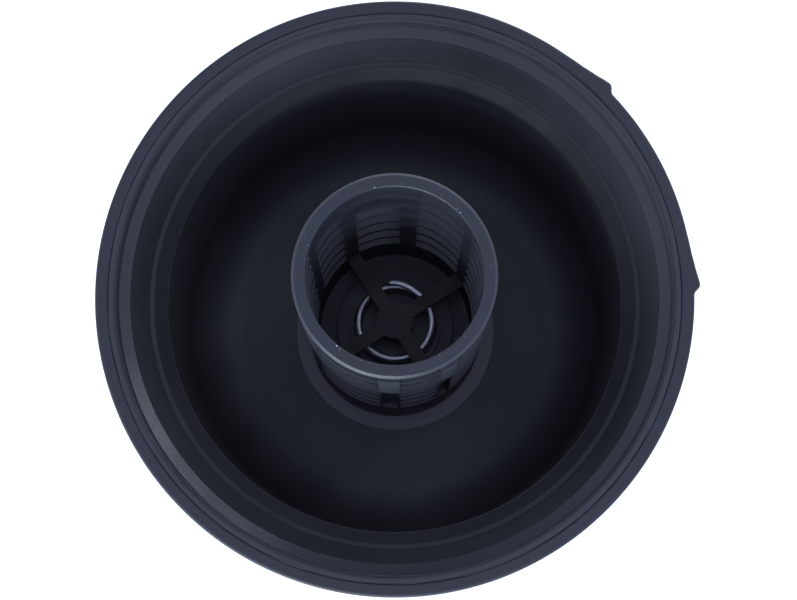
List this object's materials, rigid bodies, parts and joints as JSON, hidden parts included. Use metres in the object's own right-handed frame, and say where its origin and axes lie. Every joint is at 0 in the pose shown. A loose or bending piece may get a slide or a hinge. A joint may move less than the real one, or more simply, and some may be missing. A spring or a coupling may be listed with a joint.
{
  "type": "oil filter bowl with centre tube",
  "caption": "Screw-on black nylon oil filter bowl with a slotted centre tube, sprung bypass valve, sprung drain valve and screw-out drain plug in the closed end.",
  "frame": {"origin": "centre of the standing face at the closed end, on the bowl's axis", "axes": "+Z along the bowl's axis, out of the open end; +X across it, at the zero of the slot and ramp angles"},
  "size_m": [0.0869, 0.0862, 0.1045],
  "materials": {
    "bowl_nylon": "moulded glass-filled nylon, satin with a glossy lead-in cone",
    "collar_nylon": "moulded glass-filled nylon, matt",
    "seal_rubber": "nitrile rubber, dull",
    "shelf_rubber": "nitrile rubber, satin",
    "tube_nylon": "moulded glass-filled nylon, fine grain",
    "inner_nylon": "moulded nylon, satin",
    "keeper_nylon": "moulded nylon, satin",
    "lock_steel": "spring steel, black oxide",
    "cup_steel": "pressed steel, black phosphate",
    "spring_steel": "drawn spring wire, bright",
    "valve_plastic": "black acetal, satin",
    "seat_brass": "turned brass",
    "insert_brass": "turned brass, knurled",
    "plug_aluminium": "machined, satin",
    "washer_copper": "soft copper, dull"
  },
  "bodies": {
    "bowl": {"filter_bowl": "bowl_nylon", "thread_collar": "collar_nylon", "body_seal": "seal_rubber", "shelf_seal": "shelf_rubber", "centre_tube": "tube_nylon", "tube_lock_ring": "lock_steel", "tube_foot_seal": "seal_rubber", "valve_plate": "inner_nylon", "bypass_spring": "spring_steel", "spring_keeper": "keeper_nylon", "drain_seat": "seat_brass", "drain_spring": "spring_steel", "drain_insert": "insert_brass"},
    "bypass": {"bypass_valve": "valve_plastic", "bypass_face": "seal_rubber", "spring_cup": "cup_steel"},
    "drain": {"drain_valve": "valve_plastic", "drain_valve_seal": "seal_rubber"},
    "plug_carrier": {"plug_washer": "washer_copper"},
    "plug": {"drain_plug": "plug_aluminium"}
  },
  "joints": [
    {"name": "bypass_lift", "type": "slide", "parent": "bowl", "child": "bypass", "axis": [0, 0, 1], "range_m": [0, 0.0025], "stiffness_N_per_m": 2500, "springref_m": -0.006, "deforming": ["bypass_spring"]},
    {"name": "drain_lift", "type": "slide", "parent": "bowl", "child": "drain", "axis": [0, 0, 1], "range_m": [0, 0.002], "stiffness_N_per_m": 900, "springref_m": -0.005, "deforming": ["drain_spring"]},
    {"name": "plug_travel", "type": "slide", "parent": "bowl", "child": "plug_carrier", "axis": [0, 0, -1], "range_m": [0, 0.0075]},
    {"name": "plug_turn", "type": "hinge", "parent": "plug_carrier", "child": "plug", "pos_m": [0, 0, 0.0015], "axis": [0, 0, -1], "range_deg": [0, 1801]}
  ],
  "couplings": [
    {"joint": "plug_turn", "follows": "plug_travel", "rad_per_m": 4188.8}
  ]
}
